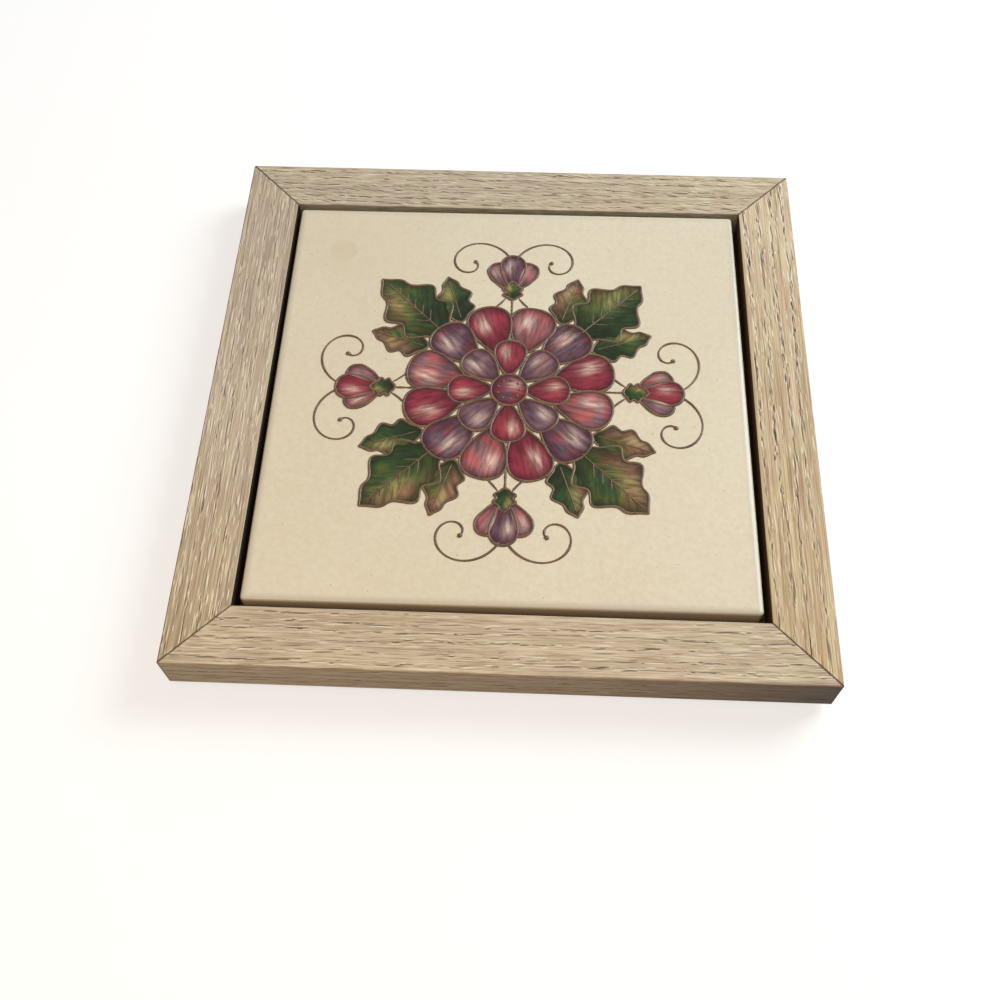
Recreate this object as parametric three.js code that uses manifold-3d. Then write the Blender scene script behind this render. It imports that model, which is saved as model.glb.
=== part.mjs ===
// Framed tile: a glazed ceramic tile bonded to a hardboard panel inside a mitred oak frame.
// Millimetres, +Z up. The origin is on the table under the middle of the frame. X runs to the right and
// Y to the back, and the back rail carries the hanger, so it is the upper one when the frame is hung up.

import * as THREE from 'three';
import { mergeVertices } from 'three/addons/utils/BufferGeometryUtils.js';
import Module from 'manifold-3d';

const wasm = await Module();
wasm.setup();

// Tile
const TILE_SIDE = 149.2;
const TILE_THICKNESS = 8;
const TILE_CORNER_RADIUS = 1.6; // seen from above
const TILE_EDGE_RADIUS = 1.1; // round that the glaze runs over

// Rails
const RAIL_WIDTH = 18;
const RAIL_EDGE_ROUND = 0.7;
const SLIT_WIDTH = 1.9; // open gap between the tile and each rail
const TILE_DROP = 0.5; // tile face below the tops of the rails
const MITRE_GAP = 0.3; // glue line between two rails

// Backing board, let into a rebate under the rails
const REBATE_WIDTH = 6;
const BOARD_THICKNESS = 3.2;
const BOARD_CLEARANCE = 0.5; // between the board's edge and the rebate
const BOARD_RECESS = 1.8; // board's underside above the rails' undersides

// Adhesive dabs between the board and the tile
const DAB_THICKNESS = 1;
const DAB_RADIUS = 11;
const DAB_INSET = 32; // outer dabs' centres from the tile's edges

// Brads through the board into the rails
const BRAD_PITCH = 84; // between the two brads of a side
const BRAD_DIAMETER = 1.2;
const BRAD_HEAD_DIAMETER = 2.6;
const BRAD_HEAD_HEIGHT = 0.5;
const BRAD_COVER = 3; // wood above a brad's point

// V-nails driven up into the mitres
const V_NAILS_PER_CORNER = 2;
const V_NAIL_ARM = 5;
const V_NAIL_THICKNESS = 0.6;
const V_NAIL_SET = 0.4; // driven below the wood's surface
const V_NAIL_COVER = 4.5; // wood above a V-nail

// Sawtooth hanger under the back rail
const HANGER_LENGTH = 44;
const HANGER_MARGIN = 2; // wood on each side of the hanger
const HANGER_THICKNESS = 0.7;
const HANGER_LIFT = 0.9; // middle held off the wood for the wall nail's head
const HANGER_END = 8; // flat end that lies on the wood
const HANGER_RAMP = 3;
const HANGER_TEETH = 10;
const HANGER_TOOTH_DEPTH = 1.4;

// Nails of the hanger
const NAIL_DIAMETER = 1.4;
const NAIL_HEAD_DIAMETER = 3.4;
const NAIL_HEAD_HEIGHT = 0.6;
const NAIL_COVER = 5; // wood above a nail's point

// Cork feet
const FOOT_MARGIN = 1; // wood on each side of a foot
const FOOT_INSET = 24; // foot's centre from the end of the rail
const FOOT_EDGE_ROUND = 0.4;
const TABLE_CLEARANCE = 0.6; // between the hanger and the table

// Fits
const SEAT_GAP = 0.3; // film of glue under a foot, the hanger or the board
const DRIVE_GAP = 0.3; // round a driven nail

// Facets of the round pieces
const PIN_SIDES = 10;
const DISC_SIDES = 24;
const ARC_STEPS = 4;

// Worked out from the sizes above
const openingSide = TILE_SIDE + 2 * SLIT_WIDTH;
const frameSide = openingSide + 2 * RAIL_WIDTH;
const frameHalf = frameSide / 2;
const landWidth = RAIL_WIDTH - REBATE_WIDTH; // flat underside of a rail, outside the rebate
const boardSide = openingSide + 2 * (REBATE_WIDTH - BOARD_CLEARANCE);
const boardTop = BOARD_RECESS + BOARD_THICKNESS; // heights here are above the rails' undersides
const ledgeHeight = boardTop + SEAT_GAP;
const tileBottom = boardTop + DAB_THICKNESS;
const railHeight = tileBottom + TILE_THICKNESS + TILE_DROP;
const footThickness = HANGER_LIFT + HANGER_THICKNESS + TABLE_CLEARANCE;
const footRadius = landWidth / 2 - FOOT_MARGIN;
const nailPitch = HANGER_LENGTH - HANGER_END;
const landMiddle = -frameHalf + landWidth / 2; // the rail's own Y
const ledgeMiddle = -frameHalf + RAIL_WIDTH - REBATE_WIDTH / 2; // the rail's own Y

const SIDES = ['front', 'right', 'back', 'left'];
const CORNERS = ['front_left', 'front_right', 'back_right', 'back_left'];
const QUARTER_TURN = Math.PI / 2;

const limedOak = new THREE.MeshStandardMaterial({ color: 0xbfae94, roughness: 0.65, metalness: 0 });
const creamGlaze = new THREE.MeshStandardMaterial({ color: 0xe2d6b9, roughness: 0.25, metalness: 0 });
const hardboard = new THREE.MeshStandardMaterial({ color: 0x4a3524, roughness: 0.8, metalness: 0 });
const adhesive = new THREE.MeshStandardMaterial({ color: 0xd9d4c6, roughness: 0.5, metalness: 0 });
const zincSteel = new THREE.MeshStandardMaterial({ color: 0xb4b6b8, roughness: 0.4, metalness: 1 });
const cork = new THREE.MeshStandardMaterial({ color: 0xb48a5a, roughness: 0.9, metalness: 0 });

// Geometry with shared vertices, as closed solids need it
function welded(geometry) {
  const bare = geometry.clone();
  bare.deleteAttribute('normal');
  bare.deleteAttribute('uv');
  return mergeVertices(bare);
}

function toSolid(geometry) {
  const shared = welded(geometry);
  return new wasm.Manifold(new wasm.Mesh({
    numProp: 3,
    vertProperties: new Float32Array(shared.attributes.position.array),
    triVerts: new Uint32Array(shared.index.array),
  }));
}

function toGeometry(solid) {
  const mesh = solid.getMesh();
  const geometry = new THREE.BufferGeometry();
  geometry.setAttribute('position', new THREE.BufferAttribute(mesh.vertProperties, 3));
  geometry.setIndex(new THREE.BufferAttribute(mesh.triVerts, 1));
  return geometry;
}

function cut(geometry, cutters) {
  const remaining = cutters.reduce((solid, cutter) => solid.subtract(toSolid(cutter)), toSolid(geometry));
  return toGeometry(remaining);
}

function common(first, second) {
  return toGeometry(toSolid(first).intersect(toSolid(second)));
}

function mesh(name, geometry, material) {
  const shared = welded(geometry);
  shared.computeVertexNormals();
  const piece = new THREE.Mesh(shared, material);
  piece.name = name;
  return piece;
}

function outline(points) {
  return new THREE.Shape(points.map(([x, y]) => new THREE.Vector2(x, y)));
}

function plate(shape, thickness) {
  return new THREE.ExtrudeGeometry(shape, { depth: thickness, bevelEnabled: false, curveSegments: PIN_SIDES });
}

// Upright round hole cutter from one height to another
function drill(radius, bottom, top) {
  const bit = new THREE.CylinderGeometry(radius, radius, top - bottom, PIN_SIDES);
  return bit.rotateX(QUARTER_TURN).translate(0, 0, (bottom + top) / 2);
}

// Solid of revolution about Z from [radius, height] points that start and end on the axis
function turned(points, sides) {
  const profile = points.map(([radius, height]) => new THREE.Vector2(radius, height));
  return new THREE.LatheGeometry(profile, sides).rotateX(QUARTER_TURN);
}

// Headed nail, head down, with its head's upper face at height zero
function headedNail(diameter, headDiameter, headHeight, length) {
  const pointHeight = diameter;
  return turned([
    [0, -headHeight],
    [headDiameter / 2, -headHeight],
    [headDiameter / 2, 0],
    [diameter / 2, 0],
    [diameter / 2, length - pointHeight],
    [0, length],
  ], PIN_SIDES);
}

// Section of a rail: x runs in from the outer face and y runs up from the underside
function railSection() {
  const round = RAIL_EDGE_ROUND;
  const section = new THREE.Shape();
  section.moveTo(round, 0);
  section.lineTo(landWidth, 0);
  section.lineTo(landWidth, ledgeHeight);
  section.lineTo(RAIL_WIDTH, ledgeHeight);
  section.lineTo(RAIL_WIDTH, railHeight - round);
  section.absarc(RAIL_WIDTH - round, railHeight - round, round, 0, QUARTER_TURN);
  section.lineTo(round, railHeight);
  section.absarc(round, railHeight - round, round, QUARTER_TURN, 2 * QUARTER_TURN);
  section.lineTo(0, round);
  section.absarc(round, round, round, 2 * QUARTER_TURN, 3 * QUARTER_TURN);
  return section;
}

// Uncut rail of the front side: the section drawn out along X, its ends mitred at 45 degrees
function railBlank() {
  const blank = new THREE.ExtrudeGeometry(railSection(), {
    depth: frameSide,
    bevelEnabled: false,
    curveSegments: ARC_STEPS,
  });
  const position = blank.attributes.position;
  const setBack = MITRE_GAP / Math.SQRT2;
  for (let i = 0; i < position.count; i += 1) {
    const mitre = position.getX(i) + setBack;
    position.setZ(i, position.getZ(i) > frameHalf ? frameSide - mitre : mitre);
  }
  const alongX = new THREE.Matrix4().makeBasis(
    new THREE.Vector3(0, 1, 0),
    new THREE.Vector3(0, 0, 1),
    new THREE.Vector3(1, 0, 0),
  );
  return blank.applyMatrix4(alongX).translate(-frameHalf, -frameHalf, 0);
}

// Prism of a V-nail in the front left corner: two arms that run along the two rails from a fold on the mitre
function vNailPrism(index, gap, bottom, top) {
  const fold = -frameHalf + (landWidth * (index + 1)) / (V_NAILS_PER_CORNER + 1);
  const outer = fold - V_NAIL_THICKNESS / 2 - gap;
  const inner = fold + V_NAIL_THICKNESS / 2 + gap;
  const end = fold + V_NAIL_ARM + gap;
  return plate(outline([
    [outer, outer],
    [end, outer],
    [end, inner],
    [inner, inner],
    [inner, end],
    [outer, end],
  ]), top - bottom).translate(0, 0, bottom);
}

const vNailTop = railHeight - V_NAIL_COVER;

const bradLength = BOARD_THICKNESS + railHeight - ledgeHeight - BRAD_COVER;
const bradPlaces = [-BRAD_PITCH / 2, BRAD_PITCH / 2];
const nailSeat = -SEAT_GAP - HANGER_THICKNESS;
const nailLength = railHeight - NAIL_COVER - nailSeat;
const nailPlaces = [-nailPitch / 2, nailPitch / 2];

function rail(name, carriesHanger) {
  const kerfs = Array.from({ length: V_NAILS_PER_CORNER }, (_, index) => (
    vNailPrism(index, DRIVE_GAP, -DRIVE_GAP, vNailTop + DRIVE_GAP)
  ));
  const cutters = kerfs.flatMap((kerf) => [kerf, kerf.clone().rotateZ(QUARTER_TURN)]);
  for (const x of bradPlaces) {
    const bradTop = BOARD_RECESS + bradLength + DRIVE_GAP;
    cutters.push(drill(BRAD_DIAMETER / 2 + DRIVE_GAP, 0, bradTop).translate(x, ledgeMiddle, 0));
  }
  if (carriesHanger) {
    const nailTop = nailSeat + nailLength + DRIVE_GAP;
    for (const x of nailPlaces) {
      cutters.push(drill(NAIL_DIAMETER / 2 + DRIVE_GAP, nailSeat, nailTop).translate(x, landMiddle, 0));
    }
  }
  return mesh(name, cut(railBlank(), cutters), limedOak);
}

function backingBoard() {
  const half = boardSide / 2;
  const square = outline([[-half, -half], [half, -half], [half, half], [-half, half]]);
  for (let side = 0; side < SIDES.length; side += 1) {
    for (const x of bradPlaces) {
      const centre = new THREE.Vector2(x, ledgeMiddle).rotateAround(new THREE.Vector2(), side * QUARTER_TURN);
      const hole = new THREE.Path();
      hole.absarc(centre.x, centre.y, BRAD_DIAMETER / 2 + DRIVE_GAP, 0, 4 * QUARTER_TURN);
      square.holes.push(hole);
    }
  }
  return mesh('backing_board', plate(square, BOARD_THICKNESS).translate(0, 0, BOARD_RECESS), hardboard);
}

function adhesiveDab(name, x, y) {
  const bulge = DAB_THICKNESS / 2;
  const dab = mesh(name, turned([
    [0, 0],
    [DAB_RADIUS - bulge, 0],
    [DAB_RADIUS, bulge],
    [DAB_RADIUS - bulge, DAB_THICKNESS],
    [0, DAB_THICKNESS],
  ], DISC_SIDES), adhesive);
  dab.position.set(x, y, boardTop);
  return dab;
}

function glazedTile() {
  const half = TILE_SIDE / 2;
  const straight = half - TILE_CORNER_RADIUS;
  const square = new THREE.Shape();
  square.absarc(straight, -straight, TILE_CORNER_RADIUS, -QUARTER_TURN, 0);
  square.absarc(straight, straight, TILE_CORNER_RADIUS, 0, QUARTER_TURN);
  square.absarc(-straight, straight, TILE_CORNER_RADIUS, QUARTER_TURN, 2 * QUARTER_TURN);
  square.absarc(-straight, -straight, TILE_CORNER_RADIUS, 2 * QUARTER_TURN, 3 * QUARTER_TURN);
  const body = new THREE.ExtrudeGeometry(square, {
    depth: TILE_THICKNESS - 2 * TILE_EDGE_RADIUS,
    bevelEnabled: true,
    bevelThickness: TILE_EDGE_RADIUS,
    bevelSize: TILE_EDGE_RADIUS,
    bevelOffset: -TILE_EDGE_RADIUS,
    bevelSegments: ARC_STEPS,
    curveSegments: ARC_STEPS,
  });
  const tile = mesh('tile', body, creamGlaze);
  tile.position.z = tileBottom + TILE_EDGE_RADIUS;
  return tile;
}

// Cork disc whose upper face is one film of glue below the rail
function corkFoot(name, x) {
  const round = FOOT_EDGE_ROUND;
  const foot = mesh(name, turned([
    [0, 0],
    [footRadius - round, 0],
    [footRadius, round],
    [footRadius, footThickness],
    [0, footThickness],
  ], DISC_SIDES), cork);
  foot.position.set(x, landMiddle, -SEAT_GAP - footThickness);
  return foot;
}

// Hanger seen from above: a strip with notches along the edge that faces the middle of the frame
function hangerPlan() {
  const outerEdge = -frameHalf + HANGER_MARGIN;
  const innerEdge = -frameHalf + landWidth - HANGER_MARGIN;
  const half = HANGER_LENGTH / 2;
  const toothedHalf = half - HANGER_END - HANGER_RAMP;
  const pitch = (2 * toothedHalf) / HANGER_TEETH;
  const points = [[-half, outerEdge], [half, outerEdge], [half, innerEdge]];
  for (let tooth = 0; tooth < HANGER_TEETH; tooth += 1) {
    const start = toothedHalf - tooth * pitch;
    points.push([start, innerEdge], [start - pitch / 2, innerEdge - HANGER_TOOTH_DEPTH]);
  }
  points.push([-toothedHalf, innerEdge], [-half, innerEdge]);
  return outline(points);
}

// Hanger seen from the front: flat ends on the wood, with the middle stepped down off it
function hangerSection() {
  const half = HANGER_LENGTH / 2;
  const rampStart = half - HANGER_END;
  const rampEnd = rampStart - HANGER_RAMP;
  const upper = [[half, 0], [rampStart, 0], [rampEnd, -HANGER_LIFT]];
  const upperLine = [...upper, ...upper.map(([x, z]) => [-x, z]).reverse()];
  const lowerLine = upperLine.map(([x, z]) => [x, z - HANGER_THICKNESS]).reverse();
  return outline([...upperLine, ...lowerLine]);
}

function sawtoothHanger() {
  const depth = HANGER_LIFT + HANGER_THICKNESS;
  const plan = plate(hangerPlan(), depth).translate(0, 0, -depth);
  const section = plate(hangerSection(), RAIL_WIDTH).rotateX(QUARTER_TURN);
  section.translate(0, -frameHalf + RAIL_WIDTH, 0);
  const holes = nailPlaces.map((x) => (
    drill(NAIL_DIAMETER / 2 + DRIVE_GAP, -2 * depth, depth).translate(x, landMiddle, 0)
  ));
  const hanger = mesh('sawtooth_hanger', cut(common(plan, section), holes), zincSteel);
  hanger.position.z = -SEAT_GAP;
  return hanger;
}

// What one side carries, modelled as the front side and turned into its place
function frameSideGroup(side) {
  const group = new THREE.Group();
  group.rotation.z = side * QUARTER_TURN;
  const isBack = SIDES[side] === 'back';
  group.add(rail(`rail_${SIDES[side]}`, isBack));
  bradPlaces.forEach((x, index) => {
    const geometry = headedNail(BRAD_DIAMETER, BRAD_HEAD_DIAMETER, BRAD_HEAD_HEIGHT, bradLength);
    const brad = mesh(`brad_${SIDES[side]}_${index + 1}`, geometry, zincSteel);
    brad.position.set(x, ledgeMiddle, BOARD_RECESS);
    group.add(brad);
  });
  if (isBack) {
    group.add(sawtoothHanger());
    nailPlaces.forEach((x, index) => {
      const geometry = headedNail(NAIL_DIAMETER, NAIL_HEAD_DIAMETER, NAIL_HEAD_HEIGHT, nailLength);
      const nail = mesh(`hanger_nail_${index === 0 ? 'right' : 'left'}`, geometry, zincSteel);
      nail.position.set(x, landMiddle, nailSeat);
      group.add(nail);
    });
  }
  if (SIDES[side] === 'right' || SIDES[side] === 'left') {
    const ends = SIDES[side] === 'right' ? ['front', 'back'] : ['back', 'front'];
    const reach = frameHalf - FOOT_INSET;
    group.add(corkFoot(`foot_${ends[0]}_${SIDES[side]}`, -reach));
    group.add(corkFoot(`foot_${ends[1]}_${SIDES[side]}`, reach));
  }
  return group;
}

function cornerGroup(corner) {
  const group = new THREE.Group();
  group.rotation.z = corner * QUARTER_TURN;
  for (let index = 0; index < V_NAILS_PER_CORNER; index += 1) {
    const geometry = vNailPrism(index, 0, V_NAIL_SET, vNailTop);
    group.add(mesh(`v_nail_${CORNERS[corner]}_${index + 1}`, geometry, zincSteel));
  }
  return group;
}

function tileGroup() {
  const reach = TILE_SIDE / 2 - DAB_INSET;
  const group = new THREE.Group();
  group.add(backingBoard());
  group.add(adhesiveDab('adhesive_dab_centre', 0, 0));
  group.add(adhesiveDab('adhesive_dab_front_left', -reach, -reach));
  group.add(adhesiveDab('adhesive_dab_front_right', reach, -reach));
  group.add(adhesiveDab('adhesive_dab_back_right', reach, reach));
  group.add(adhesiveDab('adhesive_dab_back_left', -reach, reach));
  group.add(glazedTile());
  return group;
}

const framedTile = new THREE.Group();
framedTile.position.z = footThickness + SEAT_GAP;
SIDES.forEach((_, side) => framedTile.add(frameSideGroup(side)));
CORNERS.forEach((_, corner) => framedTile.add(cornerGroup(corner)));
framedTile.add(tileGroup());

export default framedTile;
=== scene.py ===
# %% [markdown]
# # A framed tile
# This lesson dresses a framed tile: a square glazed tile in a shallow frame of limed oak, a rest for hot
# dishes. Its solids were made beforehand. They are loaded here and never moved, and every new piece is
# modelled around them, in metres, where the real one sits.

# %% Load the solids
import functools
import math

import bpy
import numpy as np
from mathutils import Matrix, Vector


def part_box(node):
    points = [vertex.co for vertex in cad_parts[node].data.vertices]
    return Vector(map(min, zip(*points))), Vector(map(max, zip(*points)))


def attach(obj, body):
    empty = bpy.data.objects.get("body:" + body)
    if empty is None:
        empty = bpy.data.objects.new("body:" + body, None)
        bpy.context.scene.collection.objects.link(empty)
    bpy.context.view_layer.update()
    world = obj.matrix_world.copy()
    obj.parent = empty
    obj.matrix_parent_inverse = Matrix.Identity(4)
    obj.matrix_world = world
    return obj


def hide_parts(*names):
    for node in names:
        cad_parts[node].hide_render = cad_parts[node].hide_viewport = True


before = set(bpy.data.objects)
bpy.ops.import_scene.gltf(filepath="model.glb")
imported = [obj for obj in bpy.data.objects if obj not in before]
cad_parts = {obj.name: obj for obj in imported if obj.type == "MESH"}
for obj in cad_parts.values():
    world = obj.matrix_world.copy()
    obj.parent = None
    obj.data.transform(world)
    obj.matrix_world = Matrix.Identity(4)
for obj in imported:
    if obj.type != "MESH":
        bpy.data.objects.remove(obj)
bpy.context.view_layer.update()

print("solids loaded:", len(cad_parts))

# %% [markdown]
# ## Sizes
# The sizes could be typed in again, but then they could drift from the solids. So they are read from the
# boxes of the solids: the front rail gives the frame, and the tile and the backing board give the rest.

# %% Read the sizes
MM = 0.001
TINY = 0.01 * MM
rail_low, rail_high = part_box("rail_front")
tile_low, tile_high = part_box("tile")
_, board_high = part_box("backing_board")
HALF_FRAME = -rail_low.y
RAIL_WIDTH = rail_high.y - rail_low.y
RAIL_TOP = rail_high.z
RAIL_BOTTOM = rail_low.z
TILE_TOP = tile_high.z
TILE_HALF = tile_high.x
print(f"frame {2 * HALF_FRAME / MM:.1f} mm, rails {RAIL_WIDTH / MM:.1f} mm, tile {2 * TILE_HALF / MM:.1f} mm")

# %% [markdown]
# ## Tools of the bench
# Blender's operators act on whatever is selected, so each step first selects exactly what it should change.
# A new primitive gets its place put into its mesh at once, so that every piece sits at the origin, unturned
# and unscaled.

# %% Pick and start pieces
def pick(*pieces):
    """Leave edit mode and select only these pieces, with the first one active."""
    if bpy.context.mode != "OBJECT":
        bpy.ops.object.mode_set(mode="OBJECT")
    bpy.ops.object.select_all(action="DESELECT")
    for piece in pieces:
        piece.select_set(True)
    if pieces:
        bpy.context.view_layer.objects.active = pieces[0]


def start_piece(name, add_primitive, **settings):
    """Add a primitive with nothing else selected, and put its place into its mesh."""
    pick()
    add_primitive(**settings)
    piece = bpy.context.object
    piece.name = name
    piece.data.name = name
    bpy.ops.object.transform_apply()
    return piece


print("bench ready")

# %% [markdown]
# ## Colours and nodes
# Colours are written as sRGB hex values, as a paint chip gives them, and one function turns them to the
# linear values that shaders use. One more adds a node, sets it, links it and hands on what it puts out, so
# that a material reads as a list of steps.

# %% Colour and node helpers
def linear(hex_colour):
    """An sRGB hex colour as linear red, green, blue and alpha."""
    channels = [int(hex_colour[i:i + 2], 16) / 255 for i in (1, 3, 5)]
    return (*(c / 12.92 if c <= 0.04045 else ((c + 0.055) / 1.055) ** 2.4 for c in channels), 1.0)


def add(tree, kind, inputs=(), stops=(), output=None, **settings):
    """Add a node with its settings, and return its named output, or else the first in use.

    The inputs are one output to link, or values and outputs in the order of the sockets in use, or by name.
    The stops are those of a colour ramp.
    """
    node = tree.nodes.new("ShaderNode" + kind)
    for field, value in settings.items():
        setattr(node, field, value)
    sockets = [socket for socket in node.inputs if socket.enabled]
    if isinstance(inputs, bpy.types.NodeSocket):
        inputs = [inputs]
    elif isinstance(inputs, dict):
        sockets = [next(socket for socket in sockets if socket.name == name) for name in inputs]
        inputs = inputs.values()
    for socket, value in zip(sockets, inputs):
        if isinstance(value, bpy.types.NodeSocket):
            tree.links.new(value, socket)
        else:
            socket.default_value = value
    if stops:
        ramp = node.color_ramp.elements
        while len(ramp) < len(stops):
            ramp.new(0.5)
        for element, (place, hex_colour) in zip(ramp, stops):
            element.position = place
            element.color = linear(hex_colour)
    if output:
        return node.outputs[output]
    return next((socket for socket in node.outputs if socket.enabled), None)


def new_material(name):
    """A material without nodes, and the function that adds a node to it."""
    material = bpy.data.materials.new(name)
    material.use_nodes = True
    material.node_tree.nodes.clear()
    return material, functools.partial(add, material.node_tree)


print("cream is", [round(c, 3) for c in linear("#dfd2b6")])

# %% [markdown]
# ## Camera
# The photograph looks down at the frame from the front, at about 60 degrees. A pinhole camera was fitted to
# the frame's edges in it, which gives the lens, the place and the tilt below.

# %% Camera
CAMERA_PLACE = (7.458 * MM, -205.83 * MM, 313.23 * MM)
CAMERA_TURNS = (29.339, 0.459, 2.263)
pick()
bpy.ops.object.camera_add(location=CAMERA_PLACE, rotation=[math.radians(turn) for turn in CAMERA_TURNS])
camera = bpy.context.object
camera.data.sensor_width = 36
camera.data.lens = 41.09
camera.data.clip_start = 0.01
bpy.context.scene.camera = camera
bpy.context.scene.view_settings.view_transform = "Standard"
print("camera height", round(camera.location.z, 3))

# %% [markdown]
# ## Floor and light
# The frame stands on a pale floor. Cool soft light comes mostly from a large lamp at the back right, so that
# the front face falls into shade. A small warm lamp over the front left and a weak one far behind fill it in.
# Lamps strong enough to whiten the floor would bleach the tile. So the floor gets part of its white only
# where it is looked at, a little more of it further out, and keeps the soft shadow of the frame.

# %% Floor
WHITE = (1, 1, 1, 1)
PAPER_GREY = (0.4, 0.4, 0.4, 1)
NEAR_GLOW, FAR_GLOW = 0.65, 0.92
NEAR_EDGE, FAR_EDGE = 0.3, 1.5


def looked_at(node):
    """1 where the camera sees a surface itself, in a gloss or through glass, and 0 for other light."""
    rays = node("LightPath").node.outputs
    seen = node("Math", (rays["Is Camera Ray"], rays["Is Glossy Ray"]), operation="MAXIMUM")
    return node("Math", (seen, rays["Is Transmission Ray"]), operation="MAXIMUM")


floor = start_piece("floor", bpy.ops.mesh.primitive_plane_add, size=6)
floor_paper, node = new_material("white_paper_sweep")
place = node("TexCoord", output="Object")
from_frame = node("VectorMath", place, operation="LENGTH")
lit = node("MapRange", (from_frame, NEAR_EDGE, FAR_EDGE, NEAR_GLOW, FAR_GLOW))
glow = node("Math", (looked_at(node), lit), operation="MULTIPLY")
paper = node("BsdfDiffuse", {"Color": PAPER_GREY})
white = node("Emission", {"Color": WHITE, "Strength": glow})
node("OutputMaterial", {"Surface": node("AddShader", (paper, white))})
floor.data.materials.append(floor_paper)
print("floor laid")

# %% Lamps and surroundings
ROOM_LIGHT = 0.25


def soft_box(name, place, side, power, colour):
    """A square lamp that faces the tile."""
    pick()
    bpy.ops.object.light_add(type="AREA", location=place)
    lamp = bpy.context.object
    lamp.name = name
    lamp.data.shape = "SQUARE"
    lamp.data.size = side
    lamp.data.energy = power
    lamp.data.color = colour
    lamp.rotation_euler = (-lamp.location).to_track_quat("-Z", "Y").to_euler()


soft_box("key_lamp", place=(0.85, 0.55, 0.80), side=0.68, power=16.0, colour=(0.88, 0.97, 1.0))
soft_box("fill_lamp", place=(-0.12, -0.28, 0.47), side=0.26, power=1.05, colour=(1.0, 0.62, 0.26))
soft_box("rim_lamp", place=(0.15, 1.70, 0.62), side=0.6, power=2.6, colour=(1.0, 1.0, 1.0))
world = bpy.data.worlds.new("studio")
bpy.context.scene.world = world
world.use_nodes = True
world.node_tree.nodes.clear()
node = functools.partial(add, world.node_tree)
room = node("Background", {"Color": WHITE, "Strength": ROOM_LIGHT})
backdrop = node("Background", {"Color": WHITE, "Strength": 1.0})
node("OutputWorld", {"Surface": node("MixShader", (looked_at(node), room, backdrop))})

# %% [markdown]
# ## The rail, cut to shape
# Each rail is a strip of oak with a step along its lower inner edge, the rebate, where the backing board
# sits. Its ends are cut at 45 degrees. A rail could be joined from two boxes, but a joiner starts from one
# strip, and so does this: a bar as wide as the part under the rebate, whose upper half is pulled inwards,
# then mitred with two cuts, and its long edges eased with a bevel. The edges and faces for each step are
# chosen by where they lie.

# %% Choose, cut, pull and ease
def points_of(piece):
    """The points of a piece, one row each."""
    flat = np.empty(3 * len(piece.data.vertices), np.float32)
    piece.data.vertices.foreach_get("co", flat)
    return flat.reshape(-1, 3).astype(float)


def choose(piece, kind, test):
    """In edit mode, select only the edges or faces whose points pass the test."""
    pick(piece)
    mesh = piece.data
    points = points_of(piece)
    for parts in (mesh.vertices, mesh.edges, mesh.polygons):
        parts.foreach_set("select", np.zeros(len(parts), bool))
    bpy.context.tool_settings.mesh_select_mode = (False, kind == "EDGE", kind == "FACE")
    for part in mesh.edges if kind == "EDGE" else mesh.polygons:
        part.select = bool(test(points[list(part.vertices)]))
    bpy.ops.object.mode_set(mode="EDIT")


def all_near(values, place):
    """True where every value lies at this place."""
    return bool(np.all(np.abs(values - place) < TINY))


def lies_at(p, y, z):
    """True for points that all lie at this depth and height."""
    return all_near(p[:, 1], y) and all_near(p[:, 2], z)


def cut_through(place, normal, **settings):
    """Cut the piece in edit mode along a plane."""
    bpy.ops.mesh.select_all(action="SELECT")
    bpy.ops.mesh.bisect(plane_co=place, plane_no=normal, threshold=TINY, **settings)


def pull(*by):
    """Extrude the chosen faces by this much."""
    bpy.ops.mesh.extrude_region_move(TRANSFORM_OT_translate={"value": by})


def ease(piece, test, width, steps):
    """Round the edges that pass the test."""
    choose(piece, "EDGE", test)
    bpy.ops.mesh.bevel(offset=width, segments=steps, affect="EDGES", clamp_overlap=False)


print("joiner's tools ready")

# %% One rail blank
REBATE_CLEARANCE = 0.5 * MM
LEDGE_GAP = 0.3 * MM
MITRE_GAP = 0.3 * MM
EDGE_EASING = 0.45 * MM
INNER_EASING = 0.15 * MM
EASING_STEPS = 3
DIAGONAL = math.sqrt(0.5)
land = HALF_FRAME - board_high.y - REBATE_CLEARANCE
ledge = board_high.z + LEDGE_GAP
land_inner = land - HALF_FRAME
rail_inner = RAIL_WIDTH - HALF_FRAME
blank = start_piece("rail_blank", bpy.ops.mesh.primitive_cube_add, size=1,
                    location=(0, land / 2 - HALF_FRAME, (RAIL_TOP + RAIL_BOTTOM) / 2),
                    scale=(2 * HALF_FRAME, land, RAIL_TOP - RAIL_BOTTOM))
bpy.ops.object.mode_set(mode="EDIT")
cut_through((0, 0, ledge), (0, 0, 1))
choose(blank, "FACE", lambda p: all_near(p[:, 1], land_inner) and p[:, 2].min() > ledge - TINY)
pull(0, RAIL_WIDTH - land, 0)
choose(blank, "EDGE", lambda p: lies_at(p, land_inner, RAIL_TOP) or lies_at(p, -HALF_FRAME, ledge))
bpy.ops.mesh.dissolve_edges()
for side in (-1, 1):
    cut_through((side * (HALF_FRAME - MITRE_GAP * DIAGONAL), -HALF_FRAME, 0),
                (side * DIAGONAL, DIAGONAL, 0), use_fill=True, clear_outer=True)
ease(blank, lambda p: lies_at(p, -HALF_FRAME, RAIL_TOP) or lies_at(p, -HALF_FRAME, RAIL_BOTTOM),
     EDGE_EASING, EASING_STEPS)
ease(blank, lambda p: lies_at(p, rail_inner, RAIL_TOP), INNER_EASING, EASING_STEPS)
pick(blank)
print("rail blank faces:", len(blank.data.polygons))

# %% [markdown]
# ## Enough points for the grain
# Brushed oak has open pores that can be felt with a fingernail, so they are carved into the mesh and not
# only drawn. That needs a point about every eighth of a millimetre across the top and the outer face, and
# fewer on the inner wall. Dividing only the edges that run along the rail, and then only those that run
# across a seen face, gives a neat grid of quads with no waste elsewhere.

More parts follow.
